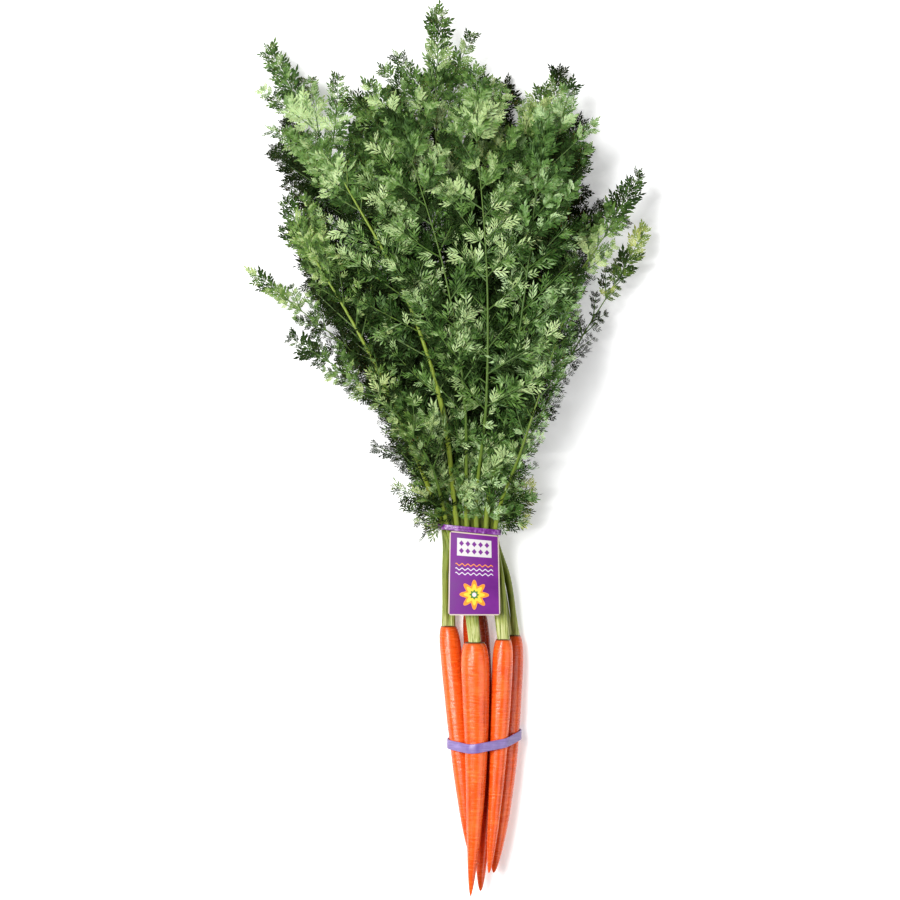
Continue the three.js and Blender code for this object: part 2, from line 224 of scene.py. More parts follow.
# Leaf tone, from 0 (nearly black) to 1 (pale), and hue, yellower above 0 and bluer below:
# some fronds' own, and the draws for the others.
FROND_TONES = {(1, 0): 0.6, (1, 1): 0.72, (1, 5): 0.6, (2, 2): 0.7, (2, 5): 0.58}
FROND_HUES = {(1, 5): 0.75, (3, 3): -0.1, (2, 3): 0.2, (3, 4): -0.6, (3, 5): -0.7, (2, 4): -0.5}
TONE_DRAW = (0.43, 0.62)
HUE_DRAW = (-0.3, 0.25)
TONE_SEED = 5
# The canopy rises away from the tie and falls to the fronds' tips; painted shade darkens leaves deep below
# it and lightens the highest a little.
CANOPY_RUN = (88, 220)
CANOPY_HEIGHTS = (33, 69)
CANOPY_FALL_FROM = 0.6
CANOPY_TIP_SHARE = 0.22
CANOPY_SHADE_SHARES = (0.54, 0.98)
CANOPY_SHADE_TONES = (-0.75, 0.08)
# Leaves vary in clumps and one by one, and less towards the fronds' tips.
CLUMP_SCALE = 32.0
CLUMP_SPAN = (0.35, 0.65)
CLUMP_TONE = 0.2
LEAFLET_TONE = 0.36
CALM_FROM = 0.7
CALM_SHARE = 0.4

# Rubber band round the roots: where it lies, how it slants, and its section.
BAND_Y = -74.4
BAND_SKEW = 0.11
BAND_WIDTH = 7
BAND_THICKNESS = 1.0
BAND_TILT = math.radians(9)
BAND_MIDDLE_HEIGHT = 18
BAND_EDGE = 0.35
BAND_CORE = 0.1
# Loops round a bundle: the step along them, and the points round each thing in the bundle.
LOOP_STEP = 1.5
LOOP_SIDES = 48

# Twist tie round the stalks: a ribbon over a round core.
TIE_Y = 86.0
TIE_SKEW = -0.1
TIE_WIDTH = 4.0
TIE_THICKNESS = 0.3
TIE_EDGE = 0.12
TIE_CORE = 0.4
TIE_CLEARANCE = 2.0
STALK_TIE_RADIUS = 1.8
# The tie's two ends, twisted round each other.
TAIL_LENGTH = 7.0
TAIL_TURN = 2.2 * math.pi
TAIL_SPREADS = (0.8, 2.0)
TAIL_RISE = 2.2
TAIL_POINTS = 24

# Card tag under the tie, with its sag and its height at the top and the bottom.
TAG_WIDTH = 39
TAG_TOP_SHARE = 0.94
TAG_LENGTH = 61.5
TAG_THICKNESS = 0.7
TAG_CENTRE_X = -0.3
TAG_SAGS = (3.4, 1.6)
TAG_HEIGHTS = (33.6, 37.5)
TAG_CORNER = 1.6
TAG_COLUMNS = 28
TAG_ROWS = 40
TAG_SHARP_EDGE = math.radians(40)

# Print on the tag, in millimetres from its lower left corner, and its inks.
INK_EDGE = 0.12
TAG_EDGE = 0.9
ROSETTE_HEIGHT = 15.5
ROSETTE_PETALS = 8.0
# Rings of the rosette, each with its mean radius, the height of its petals and its ink.
ROSETTE = [(9.0, 2.2, "orange"), (6.4, 1.6, "yellow"), (3.2, 0.5, "green"), (1.6, 0.0, "pale")]
WAVE_PLACES = (37.5, 34.2, 30.9)
WAVE_MARGIN = 5.0
WAVE_TURN = 1.4
WAVE_HEIGHT = 0.7
WAVE_HALF_WIDTH = 0.4
PANEL_MARGIN = 6.0
PANEL_SPAN = (44.0, 57.0)
PANEL_BORDER = 1.0
DIAMOND = (5.0, 5.5)
DIAMOND_EDGE = (0.36, 0.42)
INK = {
    "orange": (0.78, 0.26, 0.02, 1),
    "yellow": (0.84, 0.56, 0.04, 1),
    "green": (0.08, 0.20, 0.03, 1),
    "pale": (0.66, 0.60, 0.68, 1),
    "white": (0.60, 0.58, 0.58, 1),
    "purple": (0.16, 0.02, 0.22, 1),
}

# Camera over the bunch: the frame's side at the height of the upper roots.
VIEW_CENTRE = (-18.4, 145.5)
VIEW_SIDE = 675.0
VIEW_HEIGHT = 25.0
CAMERA_DISTANCE = 2400.0
SENSOR = 36.0

# Floor and lamps, in metres: each lamp's place, its width and length, and its watts.
FLOOR_HALF = 6.0
VIEW_END = 50.0
SKY_STRENGTH = 0.06
LAMPS = {
    "key": ((-1.0, 0.9, 2.1), (0.8, 0.8), 49),
    "strip": ((-1.05, 0.0, 1.5), (0.18, 1.6), 26),
    "fill": ((1.6, -0.4, 1.4), (1.6, 1.6), 20),
}


def mix(a, b, share):
    return a + (b - a) * share


def smooth(share):
    return share * share * (3 - 2 * share)


def unit(vector):
    return vector / np.linalg.norm(vector)


def turned(vector, axis, angle):
    """The vector turned about a unit axis."""
    along = axis * np.dot(axis, vector)
    return along + (vector - along) * math.cos(angle) + np.cross(axis, vector) * math.sin(angle)


# Node trees


class Tree:
    """A node tree being built: adds nodes, and joins sockets or plain values to their inputs."""

    def __init__(self, tree):
        self.tree = tree

    def join(self, value, socket):
        if isinstance(value, bpy.types.NodeSocket):
            self.tree.links.new(value, socket)
        elif value is not None:
            socket.default_value = value

    def add(self, kind, *values, **settings):
        """Adds a node, fills its shown inputs in order and returns its first shown output."""
        node = self.tree.nodes.new(kind)
        for name, setting in settings.items():
            setattr(node, name, setting)
        shown = [socket for socket in node.inputs if socket.enabled]
        for value, socket in zip(values, shown):
            self.join(value, socket)
        return next((socket for socket in node.outputs if socket.enabled), None)

    def math(self, operation, *values):
        return self.add("ShaderNodeMath", *values, operation=operation)

    def vector(self, operation, *values):
        return self.add("ShaderNodeVectorMath", *values, operation=operation)

    def scaled(self, vector, factor):
        return self.vector("SCALE", vector, factor)

    def noise(self, vector, scale, detail=2.0, roughness=0.5):
        return self.add("ShaderNodeTexNoise", vector, scale, detail, roughness)

    def span(self, value, low, high, to_low=0.0, to_high=1.0):
        """The value's place between low and high, kept between to_low and to_high."""
        return self.add(
            "ShaderNodeMapRange", value, low, high, to_low, to_high, interpolation_type="SMOOTHSTEP"
        )

    def blend(self, share, first, second, blend_type="MIX"):
        return self.add("ShaderNodeMix", share, first, second, data_type="RGBA", blend_type=blend_type)

    def ramp(self, share, stops):
        """Colours along a share: stops are (place, colour)."""
        output = self.add("ShaderNodeValToRGB", share)
        elements = output.node.color_ramp.elements
        for place, _ in stops[len(elements):]:
            elements.new(place)
        for element, (place, colour) in zip(elements, stops):
            element.position = place
            element.color = (*colour, 1)
        return output

    def attribute(self, name, output="Fac"):
        return self.add("ShaderNodeAttribute", attribute_name=name).node.outputs[output]


class Maker(Tree):
    """A Geometry Nodes tree with named inputs, and the pieces that it makes."""

    KINDS = {float: "NodeSocketFloat", int: "NodeSocketInt", tuple: "NodeSocketVector"}

    def __init__(self, name, **inputs):
        super().__init__(bpy.data.node_groups.new(name, "GeometryNodeTree"))
        face = self.tree.interface
        face.new_socket("Geometry", in_out="INPUT", socket_type="NodeSocketGeometry")
        face.new_socket("Geometry", in_out="OUTPUT", socket_type="NodeSocketGeometry")
        self.keys = {}
        for label, kind in inputs.items():
            socket_type = self.KINDS.get(kind, kind)
            title = label.replace("_", " ").title()
            socket = face.new_socket(title, in_out="INPUT", socket_type=socket_type)
            self.keys[label] = socket.identifier
        entry = self.tree.nodes.new("NodeGroupInput")
        self.base = entry.outputs[0]
        self.inputs = dict(zip(inputs, entry.outputs[1:]))

    def ends(self, geometry):
        leaving = self.tree.nodes.new("NodeGroupOutput")
        self.join(geometry, leaving.inputs[0])

    def named(self, name, data_type="FLOAT"):
        return self.add("GeometryNodeInputNamedAttribute", name, data_type=data_type)

    def store(self, geometry, name, value, domain="POINT"):
        return self.add(
            "GeometryNodeStoreNamedAttribute", geometry, None, name, value,
            data_type="FLOAT", domain=domain,
        )

    def random(self, low, high, seed, data_type="FLOAT"):
        return self.add("FunctionNodeRandomValue", low, high, None, seed, data_type=data_type)

    def join_all(self, *geometries):
        node = self.tree.nodes.new("GeometryNodeJoinGeometry")
        for geometry in geometries:
            self.tree.links.new(geometry, node.inputs[0])
        return node.outputs[0]

    def make(self, name, mesh, **values):
        """A plain mesh object: what the tree makes of the mesh with these input values."""
        piece = bpy.data.objects.new(name, mesh)
        bpy.context.scene.collection.objects.link(piece)
        modifier = piece.modifiers.new("shape", "NODES")
        modifier.node_group = self.tree
        for label, value in values.items():
            modifier[self.keys[label]] = value
        view = bpy.context.evaluated_depsgraph_get()
        made = bpy.data.meshes.new_from_object(
            piece.evaluated_get(view), preserve_all_data_layers=True, depsgraph=view
        )
        piece.modifiers.remove(modifier)
        piece.data = made
        made.name = name
        bpy.data.meshes.remove(mesh)
        return piece


def point_attribute(mesh, name, values, kind="FLOAT"):
    """Stores a number or a vector on every point of a mesh."""
    layer = mesh.attributes.new(name, kind, "POINT")
    key = "vector" if kind == "FLOAT_VECTOR" else "value"
    layer.data.foreach_set(key, np.asarray(values, dtype=np.float32).ravel())


def settle(piece, node):
    """The piece stands for a node of the frame: it rides on the root body and that node's part is hidden.
    """
    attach(piece, "root")
    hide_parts(node)


# Finishes


def new_finish(name):
    finish = bpy.data.materials.new(name)
    finish.use_nodes = True
    return finish, Tree(finish.node_tree), finish.node_tree.nodes["Principled BSDF"]


def object_place(tree, stretch):
    """Object coordinates, in millimetres, scaled by a stretch along each axis."""
    where = tree.add("ShaderNodeTexCoord").node.outputs["Object"]
    return tree.vector("MULTIPLY", where, tuple(s / MM for s in stretch))


def bump(tree, shader, height, distance, strength=1.0):
    tree.join(tree.add("ShaderNodeBump", strength, distance * MM, None, height), shader.inputs["Normal"])


def carrot_skin():
    """Orange skin with fine rings, darker creases, specks, a brown rim at the crown, and painted shade,
    deep red, near the crown of roots that lie behind the others.
    """
    finish, tree, shader = new_finish("carrot skin")
    crease = tree.attribute("crease")
    share = tree.attribute("share")
    cloud = tree.noise(object_place(tree, (0.09, 0.04, 0.09)), 1.0, 3.0)
    rings = tree.noise(object_place(tree, (0.13, 0.75, 0.13)), 1.0, 3.0, 0.6)
    tone = tree.math("ADD", tree.math("MULTIPLY", cloud, 0.6), tree.math("MULTIPLY", rings, 0.4))
    colour = tree.ramp(
        tone,
        [(0.3, (0.60, 0.055, 0.004)), (0.5, (0.84, 0.105, 0.008)), (0.72, (0.95, 0.18, 0.025))],
    )
    colour = tree.blend(tree.span(rings, 0.58, 0.68, 0.0, 0.3), colour, (0.96, 0.28, 0.07, 1))
    colour = tree.blend(tree.math("MULTIPLY", crease, 0.3), colour, (0.42, 0.045, 0.005, 1))
    # Painted shade: roots lying behind the others turn deep red near the crown, fading towards the tip.
    depth = tree.math("MULTIPLY", tree.attribute("depth"), tree.span(share, 0.15, 0.6, 1.0, 0.2))
    colour = tree.blend(depth, colour, (0.34, 0.022, 0.002, 1))
    specks = tree.noise(object_place(tree, (0.8, 0.8, 0.8)), 1.0, 1.0)
    colour = tree.blend(tree.span(specks, 0.76, 0.82, 0.0, 0.5), colour, (0.20, 0.045, 0.012, 1))
    shoulder = tree.span(share, 0.0, 0.05, 0.55, 0.0)
    colour = tree.blend(shoulder, colour, (0.50, 0.085, 0.014, 1))
    rim = tree.span(share, 0.001, 0.010, 1.0, 0.0)
    colour = tree.blend(rim, colour, (0.05, 0.022, 0.008, 1))
    tree.join(colour, shader.inputs["Base Color"])
    tree.join(tree.span(tone, 0.3, 0.7, 0.22, 0.34), shader.inputs["Roughness"])
    shader.inputs["Coat Weight"].default_value = 0.12
    shader.inputs["Coat Roughness"].default_value = 0.14
    shader.inputs["IOR"].default_value = 1.42
    shader.inputs["Subsurface Weight"].default_value = 0.16
    shader.inputs["Subsurface Radius"].default_value = (1.0, 0.35, 0.1)
    shader.inputs["Subsurface Scale"].default_value = 0.002
    shader.inputs["Specular IOR Level"].default_value = 0.5
    bump(tree, shader, rings, 0.3, 0.6)
    return finish


def stalk_skin():
    """Ribbed stalk, cream at its foot and greener upward, with pale and dark streaks."""
    finish, tree, shader = new_finish("leaf stalk")
    rise = tree.attribute("rise")
    streaks = tree.noise(object_place(tree, (1.1, 0.03, 1.1)), 1.0, 2.0)
    place = tree.math("ADD", rise, tree.span(streaks, 0.3, 0.7, -0.05, 0.05))
    colour = tree.ramp(
        place,
        [
            (0.0, (0.47, 0.485, 0.19)),
            (0.02, (0.33, 0.365, 0.085)),
            (0.06, (0.235, 0.27, 0.04)),
            (0.14, (0.20, 0.235, 0.028)),
            (0.45, (0.19, 0.25, 0.022)),
            (0.9, (0.20, 0.29, 0.03)),
            (1.0, (0.05, 0.10, 0.02)),
        ],
    )
    shade = tree.attribute("tint")
    colour = tree.blend(shade, colour, (0.055, 0.115, 0.015, 1))
    dark = tree.span(streaks, 0.52, 0.68, 0.0, 0.55)
    colour = tree.blend(dark, colour, (0.06, 0.10, 0.018, 1))
    tree.join(colour, shader.inputs["Base Color"])
    tree.join(tree.span(streaks, 0.3, 0.7, 0.36, 0.5), shader.inputs["Roughness"])
    shader.inputs["Subsurface Weight"].default_value = 0.1
    shader.inputs["Subsurface Scale"].default_value = 0.0015
    shader.inputs["Subsurface Radius"].default_value = (0.6, 1.0, 0.3)
    shader.inputs["Specular IOR Level"].default_value = 0.3
    bump(tree, shader, streaks, 0.2, 0.5)
    return finish


def leaf_skin():
    """Cut leaflets, each with its own tone and hue plus painted shade deep below the canopy, glossier where
    pale, and paler along the ribs.
    """
    finish, tree, shader = new_finish("leaflet")
    tone = tree.attribute("tone")
    rib = tree.attribute("rib")
    mottle = tree.noise(object_place(tree, (0.25, 0.25, 0.25)), 1.0, 3.0)
    place = tree.math("ADD", tone, tree.span(mottle, 0.3, 0.7, -0.12, 0.12))
    colour = tree.ramp(
        place,
        [
            (0.0, (0.0008, 0.0022, 0.0003)),
            (0.34, (0.002, 0.008, 0.0006)),
            (0.52, (0.014, 0.043, 0.004)),
            (0.74, (0.100, 0.200, 0.032)),
            (1.0, (0.43, 0.55, 0.23)),
        ],
    )
    hue = tree.attribute("hue")
    colour = tree.blend(hue, colour, (1.3, 1.05, 0.5, 1), "MULTIPLY")
    colour = tree.blend(tree.math("MULTIPLY", hue, -1.0), colour, (0.85, 0.98, 1.15, 1), "MULTIPLY")
    colour = tree.blend(tree.math("MULTIPLY", rib, 0.15), colour, (0.18, 0.30, 0.10, 1))
    tree.join(colour, shader.inputs["Base Color"])
    tree.join(tree.span(mottle, 0.3, 0.7, 0.36, 0.52), shader.inputs["Roughness"])
    tree.join(tree.span(place, 0.35, 0.95, 0.0, 0.45), shader.inputs["Specular IOR Level"])
    shader.inputs["Subsurface Weight"].default_value = 0.06
    shader.inputs["Subsurface Scale"].default_value = 0.0008
    bump(tree, shader, mottle, 0.15, 0.4)
    return finish


def band_rubber():
    """Lavender rubber with fine stretch lines along the band and a dusty bloom."""
    finish, tree, shader = new_finish("lavender rubber")
    lines = tree.noise(object_place(tree, (0.05, 1.6, 0.05)), 1.0, 2.0)
    bloom = tree.noise(object_place(tree, (0.2, 0.2, 0.2)), 1.0, 4.0)
    tone = tree.math("ADD", tree.math("MULTIPLY", lines, 0.5), tree.math("MULTIPLY", bloom, 0.5))
    colour = tree.ramp(
        tone, [(0.3, (0.125, 0.075, 0.27)), (0.5, (0.19, 0.125, 0.36)), (0.7, (0.30, 0.23, 0.50))]
    )
    tree.join(colour, shader.inputs["Base Color"])
    tree.join(tree.span(bloom, 0.3, 0.7, 0.38, 0.55), shader.inputs["Roughness"])
    shader.inputs["Coat Weight"].default_value = 0.3
    shader.inputs["Coat Roughness"].default_value = 0.2
    bump(tree, shader, lines, 0.08, 0.5)
    return finish


def tie_ribbon():
    """Purple plastic ribbon, glossy over its wire, with small crinkles."""
    finish, tree, shader = new_finish("twist tie ribbon")
    crinkle = tree.noise(object_place(tree, (0.5, 0.25, 0.5)), 1.0, 3.0)
    colour = tree.ramp(
        crinkle, [(0.3, (0.10, 0.012, 0.145)), (0.55, (0.19, 0.03, 0.26)), (0.75, (0.42, 0.24, 0.50))]
    )
    tree.join(colour, shader.inputs["Base Color"])
    tree.join(tree.span(crinkle, 0.3, 0.7, 0.2, 0.36), shader.inputs["Roughness"])
    shader.inputs["Coat Weight"].default_value = 0.4
    shader.inputs["Coat Roughness"].default_value = 0.12
    bump(tree, shader, crinkle, 0.3, 0.6)
    return finish


def floor_paper():
    """Pale paper with a faint grain, lit a little from below."""
    finish, tree, shader = new_finish("pale floor")
    grain = tree.noise(object_place(tree, (0.02, 0.02, 0.02)), 1.0, 3.0)
    colour = tree.ramp(grain, [(0.3, (0.90, 0.90, 0.90)), (0.7, (0.93, 0.93, 0.93))])
    tree.join(colour, shader.inputs["Base Color"])
    shader.inputs["Roughness"].default_value = 0.9
    shader.inputs["Specular IOR Level"].default_value = 0.1
    shader.inputs["Emission Color"].default_value = (1, 1, 1, 1)
    shader.inputs["Emission Strength"].default_value = 0.3
    return finish


# Tag print: measured in millimetres from the tag's lower left corner


def tag_card():
    """Purple laminated card: a pale edge, a panel of diamonds, wavy rules and a rosette."""
    finish, tree, shader = new_finish("printed tag card")
    m = tree.math
    where = tree.add("ShaderNodeUVMap", uv_map="print")
    split = tree.add("ShaderNodeSeparateXYZ", where).node
    across = m("MULTIPLY", split.outputs["X"], TAG_WIDTH)
    along = m("MULTIPLY", split.outputs["Y"], TAG_LENGTH)

    def inside(value, low, high):
        """1 where the value lies between low and high, with a soft edge."""
        above = tree.span(value, low - INK_EDGE, low + INK_EDGE)
        below = tree.span(value, high - INK_EDGE, high + INK_EDGE, 1.0, 0.0)
        return m("MULTIPLY", above, below)

    def panel(margin, low, high):
        return m("MULTIPLY", inside(across, margin, TAG_WIDTH - margin), inside(along, low, high))

    cloud = tree.noise(object_place(tree, (0.08, 0.08, 0.08)), 1.0, 3.0)
    colour = tree.ramp(cloud, [(0.3, (0.115, 0.007, 0.17)), (0.7, (0.165, 0.013, 0.225))])
    edge = m("SUBTRACT", 1.0, panel(TAG_EDGE, TAG_EDGE, TAG_LENGTH - TAG_EDGE))
    colour = tree.blend(edge, colour, (0.55, 0.45, 0.38, 1))

    side = m("SUBTRACT", across, TAG_WIDTH / 2)
    height = m("SUBTRACT", along, ROSETTE_HEIGHT)
    radius = m("SQRT", m("ADD", m("POWER", side, 2.0), m("POWER", height, 2.0)))
    petals = m("COSINE", m("MULTIPLY", m("ARCTAN2", height, side), ROSETTE_PETALS))
    for size, wave, tint in ROSETTE:
        reach = m("ADD", size, m("MULTIPLY", petals, wave))
        disc = tree.span(m("SUBTRACT", reach, radius), -INK_EDGE, INK_EDGE)
        colour = tree.blend(disc, colour, INK[tint])

    wave = m("MULTIPLY", m("SINE", m("MULTIPLY", across, WAVE_TURN)), WAVE_HEIGHT)
    for place, tint in zip(WAVE_PLACES, (INK["orange"], INK["pale"], INK["pale"])):
        offset = m("SUBTRACT", m("SUBTRACT", along, place), wave)
        stroke = inside(offset, -WAVE_HALF_WIDTH, WAVE_HALF_WIDTH)
        line = m("MULTIPLY", stroke, inside(across, WAVE_MARGIN, TAG_WIDTH - WAVE_MARGIN))
        colour = tree.blend(line, colour, tint)

    colour = tree.blend(panel(PANEL_MARGIN, *PANEL_SPAN), colour, INK["white"])

    def cell(value, start, pitch):
        """Distance from the middle of a cell, as a share of the cell."""
        place = m("FRACT", m("DIVIDE", m("SUBTRACT", value, start), pitch))
        return m("ABSOLUTE", m("SUBTRACT", place, 0.5))

    first = (PANEL_MARGIN + PANEL_BORDER, PANEL_SPAN[0] + PANEL_BORDER)
    steps = m("ADD", cell(across, first[0], DIAMOND[0]), cell(along, first[1], DIAMOND[1]))
    diamonds = tree.span(steps, *DIAMOND_EDGE, 1.0, 0.0)
    field = panel(first[0], first[1], PANEL_SPAN[1] - PANEL_BORDER)
    colour = tree.blend(m("MULTIPLY", diamonds, field), colour, INK["purple"])

    tree.join(colour, shader.inputs["Base Color"])
    tree.join(tree.span(cloud, 0.3, 0.7, 0.5, 0.62), shader.inputs["Roughness"])
    shader.inputs["Specular IOR Level"].default_value = 0.25
    bump(tree, shader, cloud, 0.3, 0.3)
    return finish


# Roots


def root_maker():
    """A tapered root from crown to tip with seeded creases and lumps, flat where it meets the floor."""
    maker = Maker(
        "Carrot root", crown=tuple, tip=tuple, radius=float, power=float, bluntness=float, bow=float,
        crease_depth=float, lump_height=float, depth=float, seed=float, skin="NodeSocketMaterial",
    )
    given = maker.inputs
    m, v = maker.math, maker.vector
    grid = maker.add("GeometryNodeMeshGrid", 1.0, 1.0, ROOT_SIDES + 1, ROOT_RINGS)
    place = maker.add("ShaderNodeSeparateXYZ", maker.add("GeometryNodeInputPosition")).node
    angle = m("MULTIPLY", place.outputs["X"], 2 * math.pi)
    run = m("SUBTRACT", m("MULTIPLY", m("ADD", place.outputs["Y"], 0.5), 1 + CROWN_CAP), CROWN_CAP)
    share = m("MINIMUM", m("MAXIMUM", run, 0.0), 1.0)
    cap = m("MINIMUM", m("ADD", m("DIVIDE", run, CROWN_CAP), 1.0), 1.0)

    taper = m("POWER", m("SUBTRACT", 1.0, m("POWER", share, given["power"])), given["bluntness"])
    slope = m("SUBTRACT", 1.0, m("MINIMUM", m("DIVIDE", share, SHOULDER_SHARE), 1.0))
    rounding = m("POWER", m("SUBTRACT", 1.0, m("POWER", slope, SHOULDER_CURVE[0])), SHOULDER_CURVE[1])
    profile = m("MULTIPLY", taper, m("ADD", CROWN_SHARE, m("MULTIPLY", rounding, 1 - CROWN_SHARE)))
    profile = m("MULTIPLY", profile, m("MAXIMUM", cap, 0.0))

    cosine, sine = m("COSINE", angle), m("SINE", angle)
    seed = m("MULTIPLY", given["seed"], ROOT_SEED_STEP)

    def around(width, along):
        """A place for noise that closes on itself round the root and runs along it."""
        step = m("ADD", m("MULTIPLY", run, along), seed)
        side, rise = m("MULTIPLY", cosine, width), m("MULTIPLY", sine, width)
        return maker.add("ShaderNodeCombineXYZ", side, rise, step)

    crease = maker.span(maker.noise(around(*CREASE_NOISE), 1.0, 2.0, 0.6), *CREASE_SPAN)
    lump = m("SUBTRACT", maker.noise(around(*LUMP_NOISE), 1.0, 2.0), 0.5)
    relief = m("SUBTRACT", m("MULTIPLY", lump, m("MULTIPLY", given["lump_height"], 2.0)),
               m("MULTIPLY", crease, given["crease_depth"]))
    reach = m("MULTIPLY", profile, m("ADD", given["radius"], relief))

    axis = v("ADD", given["crown"], maker.scaled(v("SUBTRACT", given["tip"], given["crown"]), share))
    bow = m("MULTIPLY", given["bow"], m("SINE", m("MULTIPLY", share, math.pi)))
    dip = m("MULTIPLY", m("SUBTRACT", 1.0, cap), -CROWN_DIP * MM)
    across = m("ADD", m("MULTIPLY", cosine, reach), bow)
    spoke = maker.add("ShaderNodeCombineXYZ", across, dip, m("MULTIPLY", sine, reach))
    point = maker.add("ShaderNodeSeparateXYZ", v("ADD", axis, spoke)).node.outputs
    rested = maker.add("ShaderNodeCombineXYZ", point["X"], point["Y"], m("MAXIMUM", point["Z"], 0.0))

    body = maker.store(grid, "crease", crease)
    body = maker.store(body, "share", run)
    body = maker.store(body, "depth", given["depth"])
    body = maker.add("GeometryNodeSetPosition", body, None, rested)
    body = maker.add("GeometryNodeMergeByDistance", body, None, MERGE_DISTANCE * MM)
    body = maker.add("GeometryNodeSetShadeSmooth", body, None, True)
    body = maker.add("GeometryNodeRealizeInstances", body)
    maker.ends(maker.add("GeometryNodeSetMaterial", body, None, given["skin"]))
    return maker


def make_roots():
    skin = carrot_skin()
    maker = root_maker()
    for seed, (name, (crown, tip, radius, taper, bow)) in enumerate(ROOTS.items()):
        piece = maker.make(
            name, bpy.data.meshes.new(name),
            crown=[c * MM for c in crown], tip=[t * MM for t in tip], radius=radius * MM,
            power=taper[0], bluntness=taper[1], bow=bow * MM,
            crease_depth=CREASE_DEPTH * MM, lump_height=LUMP_HEIGHT * MM,
            depth=PAINTED_ROOT_SHADE.get(name, 0.0), seed=float(seed), skin=skin,
        )
        settle(piece, name)


# Fronds


def seeded_heights():
    """The height that each frond reaches, the same on every run."""
    seed = HEIGHT_SEED
    heights = []
    for level in ROW_HEIGHTS:
        row = []
        for _ in range(COLUMNS):
            seed = seed * SEED_FACTOR % SEED_RANGE
            row.append(level + HEIGHT_SPREAD * (2 * seed / SEED_RANGE - 1))
        heights.append(row)
    return heights


HEIGHTS = seeded_heights()


def tie_point(row, column):
    """Where a stalk passes the tie."""
    across = 2 * column / (COLUMNS - 1) - 1
    up = (row - (ROWS - 1) / 2) * TIE_ROW_PITCH * (1 - TIE_ROUNDNESS * across ** 2)
    side = (column - (COLUMNS - 1) / 2) * TIE_COLUMN_PITCH + TIE_STAGGER * (2 * (row % 2) - 1)
    return TIE_CENTRE + np.array([side, 0.0, up])


def crown_point(row, column):
    """Where a stalk grows out of its root."""
    level = row // 2
    tier = list((LOWER_ROOTS, UPPER_ROOTS)[level].values())
    across = COLUMNS // len(tier)
    crown = np.array(tier[column // across][0], dtype=float)
    side = ((column % across) / (across - 1) - 0.5) * CLUMP_WIDTHS[level]
    up = (row % 2 - 0.5) * CLUMP_HEIGHT
    return crown + np.array([side, GAP, up])


def fan_point(row, column, share):
    """The point at a share of a stalk's way from the tie to its tip."""
    lean, reach = FRONDS[row][column]
    start = tie_point(row, column)
    angle = math.radians(lean) * (1 - FAN_CURL * (1 - share))
    run = reach * STALK_SHARE * share
    rise = (HEIGHTS[row][column] - start[2]) * smooth(min(share / RISE_SHARE, 1))
    bow = ROW_BOWS[row] * math.sin(math.pi * share)
    x = mix(start[0], TIE_CENTRE[0], share) + run * math.sin(angle) + bow
    return np.array([x, start[1] + run * math.cos(angle), (start[2] + rise) * (1 - TIP_DROOP * share ** 3)])


def stalk_route(row, column):
    """The points that a stalk passes: crown, halfway, tie and three more out to the tip."""
    foot = crown_point(row, column)
    tie = tie_point(row, column)
    half = (foot + tie) / 2
    half[0] = mix(foot[0], tie[0], STALK_BOW)
    return [foot, half, tie] + [fan_point(row, column, share) for share in (1 / 3, 2 / 3, 1)]


def on_route(route, at):
    """The point at a share of a smooth curve through the route's points."""
    last = len(route) - 1
    place = last * at
    first = min(int(place), last - 1)
    share = place - first
    p1, p2 = route[first], route[first + 1]
    p0 = route[first - 1] if first > 0 else 2 * p1 - p2
    p3 = route[first + 2] if first + 2 <= last else 2 * p2 - p1
    d0, d1, d2 = (math.sqrt(np.linalg.norm(b - a)) for a, b in ((p0, p1), (p1, p2), (p2, p3)))
    t1 = ((p1 - p0) / d0 - (p2 - p0) / (d0 + d1) + (p2 - p1) / d1) * d1
    t2 = ((p2 - p1) / d1 - (p3 - p1) / (d1 + d2) + (p3 - p2) / d2) * d1
    c2 = -3 * p1 + 3 * p2 - 2 * t1 - t2
    c3 = 2 * p1 - 2 * p2 + t1 + t2
    return p1 + t1 * share + c2 * share ** 2 + c3 * share ** 3


def stalk_frame(route, at, roll=0.0):
    """Point, forward, sideways and upward axes of a stalk, rolled about its own line."""
    step = 0.001
    point = on_route(route, at)
    forward = unit(on_route(route, min(at + step, 1)) - on_route(route, max(at - step, 0)))
    side = turned(unit(np.cross(forward, UP)), forward, roll)
    return point, forward, side, np.cross(side, forward)


class Branches:
    """The stems of one frond as lines of points, with what grows at each point."""

    def __init__(self):
        self.points = []
        self.edges = []
        self.values = {"thickness": [], "size": [], "rise": [], "outward": []}
        self.ups = []

    def add(self, points, ups, **values):
        start = len(self.points)
        self.points.extend(points)
        self.ups.extend(ups)
        self.edges.extend((start + i, start + i + 1) for i in range(len(points) - 1))
        for name, numbers in values.items():
            self.values[name].extend(numbers)

    def mesh(self, name):
        mesh = bpy.data.meshes.new(name)
        mesh.from_pydata([p * MM for p in self.points], self.edges, [])
        for key, numbers in self.values.items():
            point_attribute(mesh, key, numbers)
        point_attribute(mesh, "upward", self.ups, "FLOAT_VECTOR")
        return mesh


def add_stalk(branches, route, girth):
    """The stalk from inside its crown to its tip, widened beyond the tie by its girth."""
    shares = np.linspace(0, 1, STALK_POINTS)
    points = [on_route(route, at) for at in shares]
    ups = [stalk_frame(route, at)[3] for at in shares]
    widths = np.interp(shares, *STALK_WIDTHS) * np.interp(shares, PALE_FROM, [1, girth])
    sunk = points[0] - np.array([0, STALK_SINK, 0])
    branches.add(
        [sunk] + points, [ups[0]] + ups,
        thickness=[widths[0] * MM, *(widths * MM)], rise=[0.0, *(shares * STALK_RISE)],
        size=[0.0] * (STALK_POINTS + 1), outward=[0.0] * (STALK_POINTS + 1),
    )


